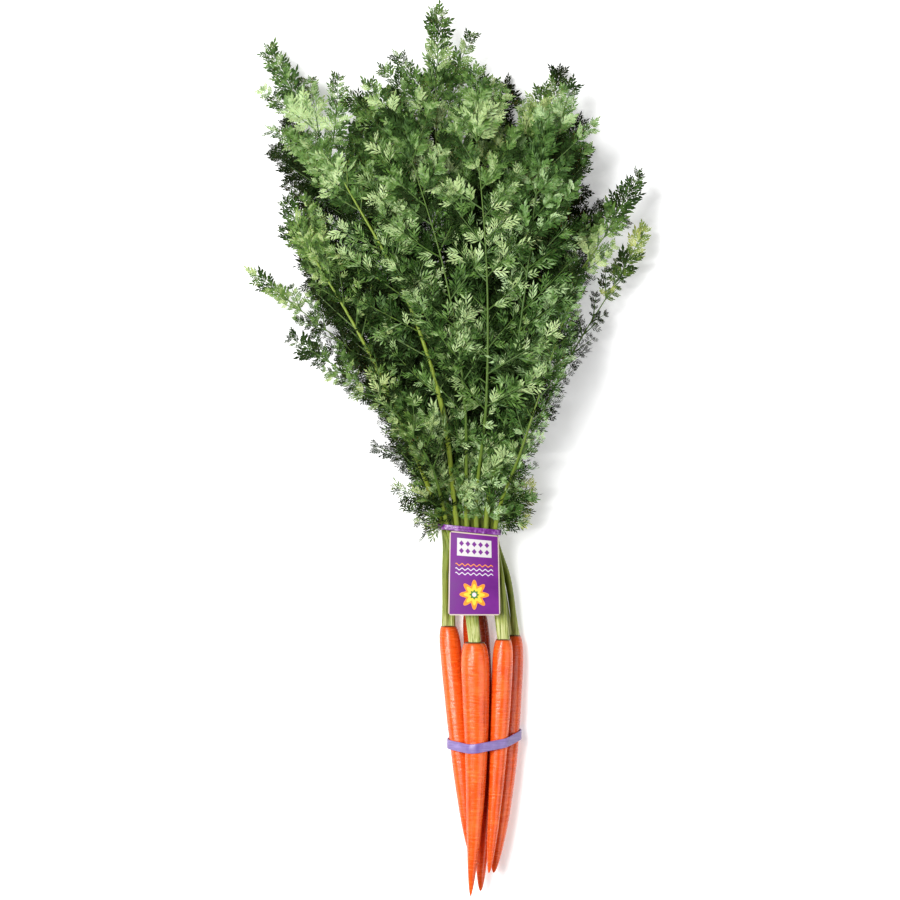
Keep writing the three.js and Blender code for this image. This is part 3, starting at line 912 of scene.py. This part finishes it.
def add_pinna(branches, route, share, length, side, sweep, tilts, roll, draw, fullness=1.0):
    """A side branch: swept forward off the stalk, curving forward and drooping to its tip."""
    at = mix(TIE_AT, 1, share)
    point, forward, across, up = stalk_frame(route, at, roll)
    flatness = np.interp(share, *PINNA_FLATNESS)
    tilt = math.radians(draw.uniform(*tilts)) * flatness
    outward = across * side * math.cos(tilt) + up * math.sin(tilt)
    ahead = forward * math.cos(sweep) + outward * math.sin(sweep)
    turn = math.radians(draw.uniform(-TURN_DRAW, TURN_DRAW)) * flatness
    upward = turned(unit(up - ahead * np.dot(up, ahead)), ahead, turn)
    curl = draw.uniform(*CURL_DRAW)
    droop = draw.uniform(*DROOP_DRAW)
    runs = np.linspace(0, 1, PINNA_POINTS)
    points = [point + length * (run * ahead + run ** 2 * (curl * forward - droop * UP)) for run in runs]
    size = fullness * math.sqrt(length / MEAN_PINNA_LENGTH)
    branches.add(
        points, [upward] * PINNA_POINTS,
        thickness=np.interp(runs, *PINNA_WIDTHS) * MM,
        size=np.interp(runs, *PINNA_SIZES) * size,
        rise=[1.0] * PINNA_POINTS,
        outward=[share if share > LOW_UNTIL else LOW_OUTWARD] * PINNA_POINTS,
    )


def frond_branches(row, column):
    """One frond's stalk, its side branches in pairs, one at its end and small ones low down."""
    draw = random.Random(100 * row + column)
    branches = Branches()
    route = stalk_route(row, column)
    add_stalk(branches, route, PALE_GIRTH if (row, column) in PALE_STALKS else 1.0)
    scale = FRONDS[row][column][1] / FULL_REACH
    fullness = FROND_FULLNESS.get((row, column), 1.0)
    outer = {0: -1, COLUMNS - 1: 1}.get(column, 0)
    tilts = PINNA_TILTS[row]
    first_roll = math.radians(draw.uniform(-FROND_ROLLS[row], FROND_ROLLS[row]))
    twist = math.radians(draw.uniform(-FROND_ROLLS[row], FROND_ROLLS[row]))
    for share in np.linspace(*PINNA_SPAN, PINNA_COUNTS[row]):
        roll = (first_roll + twist * share) * np.interp(share, *PINNA_FLATNESS)
        for side in (-1, 1):
            place = min(share + draw.uniform(-PLACE_DRAW, PLACE_DRAW), LAST_PLACE)
            length = np.interp(share, *PINNA_LENGTHS) * scale * fullness * draw.uniform(*LENGTH_DRAW)
            sweep = math.radians(np.interp(share, *PINNA_SWEEPS) + draw.uniform(-SWEEP_DRAW, SWEEP_DRAW))
            if side == outer:
                sweep *= OUTER_SWEEP_SHARE
                length *= OUTER_LENGTH_SHARE
            add_pinna(branches, route, place, length, side, sweep, tilts, roll, draw)
    end_length = END_PINNA_LENGTH * scale
    end_sweep = math.radians(draw.uniform(-END_SWEEP_DRAW, END_SWEEP_DRAW))
    end_roll = (first_roll + twist) * PINNA_FLATNESS[1][-1]
    add_pinna(
        branches, route, END_PLACE, end_length, 1, end_sweep, tilts, end_roll, draw, END_FULLNESS
    )
    if (outer and row > 0 or row == ROWS - 1) and (row, column) not in BARE_STALKS:
        for share, length, sweep in LOW_PINNAE if outer else CROSSING_PINNAE:
            turn = math.radians(sweep + draw.uniform(-LOW_SWEEP_DRAW, LOW_SWEEP_DRAW))
            size = length * draw.uniform(*LOW_LENGTH_DRAW)
            for side in (outer,) if outer else (-1, 1):
                add_pinna(branches, route, share, size, side, turn, LOW_TILTS, 0.0, draw, LOW_FULLNESS)
    return branches.mesh(f"frond_{row + 1}_{column + 1}")


def leaflet_mesh(variety):
    """A cut leaflet of unit length along +Y: folded lobes in pairs, a midrib and a lobe at the end."""
    draw = random.Random(LEAFLET_SEED + variety)
    points, faces, ribs = [], [], []

    def lobe(start_at, angle, length, width, widest):
        ahead = np.array([math.sin(angle), math.cos(angle), 0.0])
        across = np.array([math.cos(angle), -math.sin(angle), 0.0])
        base = np.array([0.0, start_at, 0.0])
        middle = base + ahead * length * widest
        fold = np.array([0, 0, -LOBE_FOLD * width])
        tip = base + ahead * length + np.array([0, 0, draw.uniform(*LOBE_TIP_DRAW) * length])
        start = len(points)
        points.extend([base, tip, middle + across * width / 2 + fold, middle - across * width / 2 + fold])
        ribs.extend([1.0, 0.5, 0.0, 0.0])
        order = [(0, 2, 1), (0, 1, 3), (0, 3, 2), (2, 3, 1)]
        faces.extend(tuple(start + i for i in face) for face in order)

    form = LEAFLETS[variety]
    for start_at, length, share, widest in (MIDRIB, END_LOBE):
        lobe(start_at, 0.0, length, form["width"] * share, widest)
    for place, length in form["pairs"]:
        for side in (-1, 1):
            spread = form["spread"] + draw.uniform(-LOBE_TURN_DRAW, LOBE_TURN_DRAW)
            size = length * draw.uniform(*LOBE_SIZE_DRAW)
            width = form["width"] * draw.uniform(*LOBE_SIZE_DRAW)
            start_at = place + draw.uniform(-LOBE_START_DRAW, LOBE_START_DRAW)
            lobe(start_at, side * math.radians(spread), size, width, LOBE_WIDEST)
    mesh = bpy.data.meshes.new(f"leaflet_{variety}")
    mesh.from_pydata(points, [], faces)
    point_attribute(mesh, "rib", ribs)
    return mesh


def leaflet_pattern():
    """A collection of leaflets for the fronds to pick from."""
    pattern = bpy.data.collections.new("leaflets")
    bpy.context.scene.collection.children.link(pattern)
    for variety in range(len(LEAFLETS)):
        pattern.objects.link(bpy.data.objects.new(f"leaflet_{variety}", leaflet_mesh(variety)))
    return pattern


def frond_maker():
    """Stems swept along the frond's lines, with leaflets in pairs along its side branches."""
    maker = Maker(
        "Frond", leaflets="NodeSocketCollection", spacing=float, length=float, splay=float,
        jitter=float, tone=float, hue=float, stalk_tint=float, seed=int,
        stalk="NodeSocketMaterial", leaf="NodeSocketMaterial",
    )
    given = maker.inputs
    m, v = maker.math, maker.vector
    lines = maker.add("GeometryNodeMeshToCurve", maker.base)
    section = maker.add("GeometryNodeCurvePrimitiveCircle", STEM_SIDES, 1.0)
    stems = maker.add("GeometryNodeCurveToMesh", lines, section, maker.named("thickness"), True)
    stems = maker.add("GeometryNodeSetShadeSmooth", stems, None, True)
    above = maker.span(maker.named("rise"), *TINT_FROM)
    stems = maker.store(stems, "tint", m("MULTIPLY", given["stalk_tint"], above))

    leafy = m("GREATER_THAN", maker.named("size"), LEAFY_SIZE)
    twigs = maker.add("GeometryNodeSeparateGeometry", lines, leafy)
    stations = maker.add("GeometryNodeCurveToPoints", twigs, given["spacing"], mode="LENGTH")
    ends = maker.add("GeometryNodeCurveToPoints", twigs, 2, mode="COUNT")
    last = m("GREATER_THAN", m("MODULO", maker.add("GeometryNodeInputIndex"), 2.0), 0.5)
    patterns = maker.add("GeometryNodeCollectionInfo", given["leaflets"], True, True)
    upward = maker.named("upward", "FLOAT_VECTOR")
    outward = maker.named("outward")
    near_tip = m("GREATER_THAN", outward, BROAD_FROM)

    def seed(step):
        return m("ADD", given["seed"], float(step))

    def leaflets(points, selection, side, step):
        """Leaflets on one side of the twigs, or straight ahead where side is 0."""
        forward = points.node.outputs["Tangent"]
        across = v("CROSS_PRODUCT", forward, upward)
        spread = m("ADD", given["splay"], maker.random(-SPLAY_DRAW, SPLAY_DRAW, seed(step)))
        ahead = maker.scaled(forward, m("COSINE", spread) if side else 1.0)
        sideways = maker.scaled(across, m("MULTIPLY", m("SINE", spread), float(side)))
        lift = maker.scaled(upward, maker.random(*LIFT_DRAW, seed(step + 1)))
        heading = v("ADD", v("ADD", ahead, sideways), lift)
        wobble = maker.scaled(
            maker.random((-1, -1, -1), (1, 1, 1), seed(step + 2), "FLOAT_VECTOR"), given["jitter"]
        )
        turn = maker.add(
            "FunctionNodeAxesToRotation", heading, v("ADD", upward, wobble),
            primary_axis="Y", secondary_axis="Z",
        )
        size = m("MULTIPLY", given["length"], maker.named("size"))
        size = m("MULTIPLY", size, maker.random(*LEAFLET_DRAW, seed(step + 3)))
        slim = maker.random(0, FIRST_BROAD - 1, seed(step + 4), "INT")
        broad = maker.random(FIRST_BROAD, len(LEAFLETS) - 1, seed(step + 5), "INT")
        slim = m("MULTIPLY", slim, m("SUBTRACT", 1.0, near_tip))
        pick = m("ADD", slim, m("MULTIPLY", broad, near_tip))
        return maker.add(
            "GeometryNodeInstanceOnPoints", points, selection, patterns, True, pick, turn, size
        )

    leaves = maker.join_all(
        leaflets(stations, None, -1, 10), leaflets(stations, None, 1, 20), leaflets(ends, last, 0, 30)
    )
    # Painted shade: leaves low beneath the canopy are darkened and the highest lightened a little.
    point = maker.add("ShaderNodeSeparateXYZ", maker.add("GeometryNodeInputPosition")).node.outputs
    canopy = maker.span(point["Y"], *(y * MM for y in CANOPY_RUN), *(z * MM for z in CANOPY_HEIGHTS))
    fall = maker.span(outward, CANOPY_FALL_FROM, 1.0, 1.0, CANOPY_TIP_SHARE)
    height = m("DIVIDE", point["Z"], m("MULTIPLY", canopy, fall))
    canopy_shade_tone = maker.span(height, *CANOPY_SHADE_SHARES, *CANOPY_SHADE_TONES)
    clumps = maker.noise(maker.add("GeometryNodeInputPosition"), CLUMP_SCALE, 1.0)
    clump_tone = maker.span(clumps, *CLUMP_SPAN, -CLUMP_TONE, CLUMP_TONE)
    calm = maker.span(outward, CALM_FROM, 1.0, 1.0, CALM_SHARE)
    own_tone = m("MULTIPLY", maker.random(-LEAFLET_TONE, LEAFLET_TONE, seed(40)), calm)
    # The stored tone adds the frond's own tone, the painted shade below the canopy, clumps and each
    # leaflet's own.
    tone = m("ADD", m("ADD", given["tone"], canopy_shade_tone), clump_tone)
    leaves = maker.store(leaves, "tone", m("ADD", tone, own_tone), "INSTANCE")
    leaves = maker.store(leaves, "hue", given["hue"], "INSTANCE")

    below = m("MAXIMUM", m("SUBTRACT", LEAF_FLOOR * MM, point["Z"]), 0.0)
    beyond = m("MAXIMUM", m("SUBTRACT", point["Z"], LEAF_CEILING * MM), 0.0)
    lift = m("ADD", m("MULTIPLY", below, FLOOR_PRESS), m("MULTIPLY", beyond, -CEILING_PRESS))
    shift = maker.add("ShaderNodeCombineXYZ", 0.0, 0.0, lift)

    def finished(geometry, surface):
        """Plain faces, kept off the floor and pressed below the ceiling, in their own finish."""
        faces = maker.add("GeometryNodeRealizeInstances", geometry)
        faces = maker.add("GeometryNodeSetPosition", faces, None, None, shift)
        return maker.add("GeometryNodeSetMaterial", faces, None, surface)

    maker.ends(maker.join_all(finished(stems, given["stalk"]), finished(leaves, given["leaf"])))
    return maker


def make_fronds():
    pattern = leaflet_pattern()
    stalk, leaf = stalk_skin(), leaf_skin()
    maker = frond_maker()
    draw = random.Random(TONE_SEED)
    for row in range(ROWS):
        for column in range(COLUMNS):
            place = (row, column)
            tone = FROND_TONES.get(place, draw.uniform(*TONE_DRAW))
            hue = FROND_HUES.get(place, draw.uniform(*HUE_DRAW))
            stalk_tint = 0.0 if place in PALE_STALKS else draw.choice(STALK_TINTS)
            name = f"frond_{row + 1}_{column + 1}"
            piece = maker.make(
                name, frond_branches(row, column), leaflets=pattern, spacing=LEAFLET_SPACING * MM,
                length=LEAFLET_LENGTH * MM, splay=LEAFLET_SPLAY, jitter=LEAFLET_JITTER, tone=tone,
                hue=hue, stalk_tint=stalk_tint, seed=1000 * row + 100 * column, stalk=stalk, leaf=leaf,
            )
            settle(piece, name)
    for leaflet in list(pattern.objects):
        bpy.data.objects.remove(leaflet)
    bpy.data.collections.remove(pattern)


# Bands


def hull(points):
    """The outline that a band stretched round these points takes, counter-clockwise."""
    ordered = sorted(map(tuple, points))

    def half(sequence):
        chain = []
        for point in sequence:
            while len(chain) > 1:
                (ax, ay), (bx, by) = chain[-2:]
                if (bx - ax) * (point[1] - by) - (by - ay) * (point[0] - bx) > 1e-9:
                    break
                chain.pop()
            chain.append(point)
        return chain[:-1]

    return np.array(half(ordered) + half(ordered[::-1]))


def band_loop(circles, clearance):
    """Points of the hull round circles (x, z, radius)."""
    turns = np.linspace(0, 2 * math.pi, LOOP_SIDES, endpoint=False)
    points = [
        (x + (radius + clearance) * math.cos(turn), z + (radius + clearance) * math.sin(turn))
        for x, z, radius in circles
        for turn in turns
    ]
    return hull(points)


def evenly(loop, step):
    """The closed loop's points spread at an even step."""
    closed = np.vstack([loop, loop[:1]])
    runs = np.concatenate([[0], np.cumsum(np.linalg.norm(np.diff(closed, axis=0), axis=1))])
    places = np.linspace(0, runs[-1], int(runs[-1] / step), endpoint=False)
    return np.column_stack([np.interp(places, runs, closed[:, i]) for i in range(2)])


def band_maker():
    """A flat band with rounded edges along a line of points, with a round core under its middle."""
    maker = Maker(
        "Wrapped band", width=float, thickness=float, edge=float, core=float,
        surface="NodeSocketMaterial",
    )
    given = maker.inputs
    line = maker.add("GeometryNodeMeshToCurve", maker.base)
    line = maker.add(
        "GeometryNodeSetCurveNormal", line, None, maker.named("upward", "FLOAT_VECTOR"), mode="FREE"
    )
    section = maker.add("GeometryNodeCurvePrimitiveQuadrilateral", given["width"], given["thickness"])
    section = maker.add("GeometryNodeFilletCurve", section, 4, given["edge"], True, mode="POLY")
    band = maker.add("GeometryNodeCurveToMesh", line, section, 1.0, True)
    core_section = maker.add("GeometryNodeCurvePrimitiveCircle", 10, given["core"])
    core = maker.add("GeometryNodeCurveToMesh", line, core_section, 1.0, True)
    both = maker.add("GeometryNodeSetShadeSmooth", maker.join_all(band, core), None, True)
    both = maker.add("GeometryNodeRealizeInstances", both)
    maker.ends(maker.add("GeometryNodeSetMaterial", both, None, given["surface"]))
    return maker


def line_mesh(name, lines):
    """Lines of (points, normals, closed) as one mesh of edges."""
    points, normals, edges = [], [], []
    for line, line_normals, closed in lines:
        start, count = len(points), len(line)
        points.extend(line)
        normals.extend(line_normals)
        edges.extend((start + i, start + i + 1) for i in range(count - 1))
        if closed:
            edges.append((start + count - 1, start))
    mesh = bpy.data.meshes.new(name)
    mesh.from_pydata([np.asarray(p) * MM for p in points], edges, [])
    point_attribute(mesh, "upward", normals, "FLOAT_VECTOR")
    return mesh


def root_share(root, y):
    """How far along a root, from crown to tip, a place y along the bunch lies."""
    crown, tip = root[:2]
    return (crown[1] - y) / (crown[1] - tip[1])


def root_axis(root, share):
    """The middle of a root at a share of its length."""
    crown, tip, _, _, bow = root
    axis = mix(np.array(crown, dtype=float), np.array(tip, dtype=float), share)
    axis[0] += bow * math.sin(math.pi * share)
    return axis


def root_radius(root, share):
    """The radius of a root at a share of its length, without its creases and lumps."""
    _, _, radius, (power, bluntness), _ = root
    slope = 1 - min(share / SHOULDER_SHARE, 1)
    rounding = (1 - slope ** SHOULDER_CURVE[0]) ** SHOULDER_CURVE[1]
    return radius * (1 - share ** power) ** bluntness * mix(CROWN_SHARE, 1, rounding)


def make_rubber_band(maker):
    slope = math.tan(BAND_TILT)

    def level(x, z):
        """Where the band lies along the bunch at a place on its loop."""
        return BAND_Y + slope * (BAND_MIDDLE_HEIGHT - z) + BAND_SKEW * (x - TIE_CENTRE[0])

    circles = []
    for root in ROOTS.values():
        near = root_axis(root, root_share(root, BAND_Y))
        share = root_share(root, BAND_WIDTH / 2 + level(near[0], near[2] - root[2]))
        centre = root_axis(root, share)
        circles.append((centre[0], centre[2], root_radius(root, share)))
    loop = evenly(band_loop(circles, GAP + BAND_THICKNESS / 2), LOOP_STEP)
    points = [(x, level(x, z), z) for x, z in loop]
    lean = np.array([0, 1.0, 0])
    mesh = line_mesh("rubber_band", [(points, [lean] * len(points), True)])
    piece = maker.make(
        "rubber_band", mesh, width=BAND_WIDTH * MM, thickness=BAND_THICKNESS * MM,
        edge=BAND_EDGE * MM, core=BAND_CORE * MM, surface=band_rubber(),
    )
    settle(piece, "rubber_band")


def tie_level(x):
    """Where the tie crosses the bunch: lower at the right."""
    return TIE_Y + TIE_SKEW * (x - TIE_CENTRE[0])


def make_twist_tie(maker):
    places = [tie_point(row, column) for row in range(ROWS) for column in range(COLUMNS)]
    circles = [(place[0], place[2], STALK_TIE_RADIUS) for place in places]
    loop = evenly(band_loop(circles, TIE_CLEARANCE + TIE_CORE), LOOP_STEP)
    points = [(x, tie_level(x), z) for x, z in loop]
    ring = (points, [np.array([0, 1.0, 0])] * len(points), True)
    left = min(x for x, _ in loop)
    lines = [ring]
    for phase in (0, math.pi):
        tail, turns = [], []
        for step in np.linspace(0, 1, TAIL_POINTS):
            angle = phase + step * TAIL_TURN
            spread = mix(*TAIL_SPREADS, step ** 3)
            tail.append((
                left - TAIL_LENGTH * step,
                tie_level(left) + spread * math.sin(angle),
                TIE_CENTRE[2] + spread * math.cos(angle) + TAIL_RISE * step,
            ))
            turns.append(np.array([0, math.cos(angle), -math.sin(angle)]))
        lines.append((tail, turns, False))
    mesh = line_mesh("twist_tie", lines)
    piece = maker.make(
        "twist_tie", mesh, width=TIE_WIDTH * MM, thickness=TIE_THICKNESS * MM, edge=TIE_EDGE * MM,
        core=TIE_CORE * MM, surface=tie_ribbon(),
    )
    settle(piece, "twist_tie")


# Tag


def make_card_tag():
    """A bowed card with rounded corners, its print laid out on its own map."""
    columns, rows = TAG_COLUMNS, TAG_ROWS
    drop = TIE_WIDTH / 2 + GAP
    points, faces, prints = [], [], []

    def card_point(across, down, level):
        y = down * TAG_LENGTH
        inset = max(TAG_CORNER - min(y, TAG_LENGTH - y), 0)
        limit = TAG_WIDTH / 2 - TAG_CORNER + math.sqrt(max(TAG_CORNER ** 2 - inset ** 2, 0))
        x = across * limit
        bow = mix(*TAG_SAGS, down) * (2 * x / TAG_WIDTH) ** 2
        z = mix(*TAG_HEIGHTS, math.sqrt(down)) - bow + level * TAG_THICKNESS / 2
        prints.append((x / TAG_WIDTH + 0.5, 1 - down))
        x = TAG_CENTRE_X + x * mix(TAG_TOP_SHARE, 1, down)
        return np.array([x, mix(tie_level(x), TIE_Y - TAG_LENGTH, down) - drop, z])

    for level in (1, -1):
        for row in range(rows + 1):
            for column in range(columns + 1):
                points.append(card_point(2 * column / columns - 1, row / rows, level))
    layer = (rows + 1) * (columns + 1)

    def index(row, column, level):
        return level * layer + row * (columns + 1) + column

    for row in range(rows):
        for column in range(columns):
            ring = [(row, column), (row + 1, column), (row + 1, column + 1), (row, column + 1)]
            faces.append([index(*place, 0) for place in ring])
            faces.append([index(*place, 1) for place in reversed(ring)])
    edge = [(0, c) for c in range(columns)] + [(r, columns) for r in range(rows)]
    edge += [(rows, c) for c in range(columns, 0, -1)] + [(r, 0) for r in range(rows, 0, -1)]
    for here, there in zip(edge, edge[1:] + edge[:1]):
        faces.append([index(*here, 0), index(*there, 0), index(*there, 1), index(*here, 1)])

    mesh = bpy.data.meshes.new("card_tag")
    mesh.from_pydata([p * MM for p in points], [], faces)
    layer_map = mesh.uv_layers.new(name="print")
    for loop in mesh.loops:
        layer_map.data[loop.index].uv = prints[loop.vertex_index]
    mesh.polygons.foreach_set("use_smooth", [True] * len(mesh.polygons))
    mesh.set_sharp_from_angle(angle=TAG_SHARP_EDGE)
    mesh.materials.append(tag_card())
    piece = bpy.data.objects.new("card_tag", mesh)
    bpy.context.scene.collection.objects.link(piece)
    settle(piece, "card_tag")


# Floor, light and camera


def make_floor():
    mesh = bpy.data.meshes.new("floor")
    corners = [(x * FLOOR_HALF, y * FLOOR_HALF, 0) for x, y in ((-1, -1), (1, -1), (1, 1), (-1, 1))]
    mesh.from_pydata(corners, [], [(0, 1, 2, 3)])
    mesh.materials.append(floor_paper())
    floor = bpy.data.objects.new("floor", mesh)
    bpy.context.scene.collection.objects.link(floor)


def soft_light(name, place, size, watts):
    """A wide lamp of (width, length), pointed at the middle of the bunch."""
    lamp = bpy.data.lights.new(name, "AREA")
    lamp.shape = "RECTANGLE"
    lamp.size, lamp.size_y = size
    lamp.energy = watts
    holder = bpy.data.objects.new(name, lamp)
    bpy.context.scene.collection.objects.link(holder)
    holder.location = place
    holder.rotation_euler = direction_turn(np.array([*VIEW_CENTRE, 0]) * MM - np.array(place))


def direction_turn(direction):
    """Turn that points a light's or camera's -Z along a direction."""
    return Vector(direction).to_track_quat("-Z", "Y").to_euler()


def make_light():
    world = bpy.data.worlds.new("studio")
    world.use_nodes = True
    sky = world.node_tree.nodes["Background"]
    sky.inputs["Color"].default_value = (1, 1, 1, 1)
    sky.inputs["Strength"].default_value = SKY_STRENGTH
    bpy.context.scene.world = world
    for name, (place, size, watts) in LAMPS.items():
        soft_light(name, place, size, watts)


def make_camera():
    lens = bpy.data.cameras.new("camera")
    lens.sensor_width = SENSOR
    lens.lens = SENSOR * CAMERA_DISTANCE / VIEW_SIDE
    lens.clip_end = VIEW_END
    camera = bpy.data.objects.new("camera", lens)
    camera.location = (VIEW_CENTRE[0] * MM, VIEW_CENTRE[1] * MM, (VIEW_HEIGHT + CAMERA_DISTANCE) * MM)
    bpy.context.scene.collection.objects.link(camera)
    bpy.context.scene.camera = camera
    bpy.context.scene.view_settings.view_transform = "Standard"


make_camera()
make_floor()
make_light()
make_roots()
make_fronds()
wrapping = band_maker()
make_rubber_band(wrapping)
make_twist_tie(wrapping)
make_card_tag()
